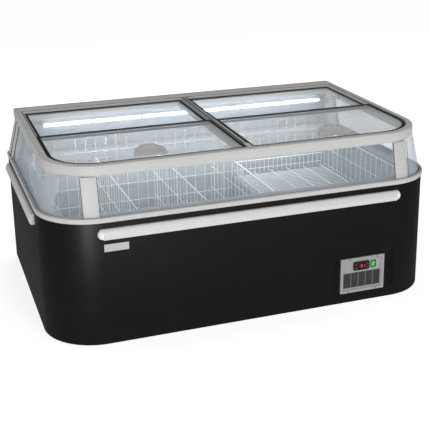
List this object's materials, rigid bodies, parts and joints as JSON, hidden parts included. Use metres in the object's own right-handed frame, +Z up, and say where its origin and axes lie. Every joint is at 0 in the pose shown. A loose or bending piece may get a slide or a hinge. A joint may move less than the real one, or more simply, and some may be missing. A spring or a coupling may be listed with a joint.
{
  "type": "chest freezer",
  "caption": "Island chest freezer with a glass house on top, sliding glass lids in two bays, a wire-lined tank and a front control panel.",
  "frame": {"origin": "on the floor under the centre of the whole object", "axes": "+X along the length, to the right seen from the front; +Y to the rear; +Z up"},
  "size_m": [1.848, 1.196, 0.8042],
  "materials": {
    "black_paint": "satin black coat",
    "steel": "galvanised",
    "foam": null,
    "white_liner": "smooth, satin",
    "trim_grey": "satin light grey",
    "grip_grey": "fine moulded texture",
    "black_plastic": "satin",
    "button_grey": "soft",
    "clear_glass": "clear",
    "white_wire": "powder coated wire",
    "switch_green": "translucent green",
    "lamp_white": "diffusing tube",
    "plate_white": "blank plate"
  },
  "bodies": {
    "root": {"outer_shell": "black_paint", "rear_panel": "steel", "base_tray": "steel", "condenser": "steel", "fan_motor": "steel", "insulation": "foam", "tank_liner": "white_liner", "collar": "white_liner", "rim_front": "trim_grey", "rim_surround": "trim_grey", "post_front_left": "trim_grey", "post_front_right": "trim_grey", "rear_wall": "trim_grey", "top_rail_front": "trim_grey", "top_frame_surround": "trim_grey", "centre_mullion": "trim_grey", "control_panel": "trim_grey", "bumper_front": "trim_grey", "bumper_front_cap_left": "trim_grey", "bumper_front_cap_right": "trim_grey", "bumper_left": "trim_grey", "bumper_right": "trim_grey", "foot_front_left": "black_plastic", "foot_front_right": "black_plastic", "foot_rear_left": "black_plastic", "foot_rear_right": "black_plastic", "compressor": "black_plastic", "cord_gland": "black_plastic", "intake_grille": "black_plastic", "controller": "black_plastic", "switch_bezel": "black_plastic", "glass_front": "clear_glass", "glass_left": "clear_glass", "glass_right": "clear_glass", "grid_rear": "white_wire", "grid_front": "white_wire", "grid_left": "white_wire", "grid_right": "white_wire", "divider_1": "white_wire", "divider_2": "white_wire", "divider_3": "white_wire", "hump_rack": "white_wire", "lamp": "lamp_white", "name_plate": "plate_white"},
    "lid_front_left": {"lid_front_left_frame": "black_plastic", "lid_front_left_glass": "clear_glass", "lid_front_left_handle": "grip_grey"},
    "lid_front_right": {"lid_front_right_frame": "black_plastic", "lid_front_right_glass": "clear_glass", "lid_front_right_handle": "grip_grey"},
    "lid_rear_left": {"lid_rear_left_frame": "black_plastic", "lid_rear_left_glass": "clear_glass"},
    "lid_rear_right": {"lid_rear_right_frame": "black_plastic", "lid_rear_right_glass": "clear_glass"},
    "fan": {"fan_blades": "grip_grey"},
    "rocker": {"switch_rocker": "switch_green"},
    "button_up_body": {"button_up": "button_grey"},
    "button_down_body": {"button_down": "button_grey"},
    "button_set_body": {"button_set": "button_grey"},
    "button_defrost_body": {"button_defrost": "button_grey"}
  },
  "joints": [
    {"name": "lid_front_left_slide", "type": "slide", "parent": "root", "child": "lid_front_left", "axis": [0, 0.9997, 0.0234], "range_m": [0, 0.458]},
    {"name": "lid_rear_left_slide", "type": "slide", "parent": "root", "child": "lid_rear_left", "axis": [0, -0.9997, -0.0234], "range_m": [0, 0.27]},
    {"name": "lid_front_right_slide", "type": "slide", "parent": "root", "child": "lid_front_right", "axis": [0, 0.9997, 0.0234], "range_m": [0, 0.458]},
    {"name": "lid_rear_right_slide", "type": "slide", "parent": "root", "child": "lid_rear_right", "axis": [0, -0.9997, -0.0234], "range_m": [0, 0.27]},
    {"name": "fan_spin", "type": "hinge", "parent": "root", "child": "fan", "pos_m": [0.511, -0.434, 0.145], "axis": [0, 1, 0], "continuous": true},
    {"name": "switch_rock", "type": "hinge", "parent": "root", "child": "rocker", "pos_m": [0.567, -0.573, 0.184], "axis": [1, 0, 0], "range_deg": [-14, 0]},
    {"name": "button_up_press", "type": "slide", "parent": "root", "child": "button_up_body", "axis": [0, 1, 0], "range_m": [0, 0.0006], "stiffness_N_per_m": 400},
    {"name": "button_down_press", "type": "slide", "parent": "root", "child": "button_down_body", "axis": [0, 1, 0], "range_m": [0, 0.0006], "stiffness_N_per_m": 400},
    {"name": "button_set_press", "type": "slide", "parent": "root", "child": "button_set_body", "axis": [0, 1, 0], "range_m": [0, 0.0006], "stiffness_N_per_m": 400},
    {"name": "button_defrost_press", "type": "slide", "parent": "root", "child": "button_defrost_body", "axis": [0, 1, 0], "range_m": [0, 0.0006], "stiffness_N_per_m": 400}
  ]
}
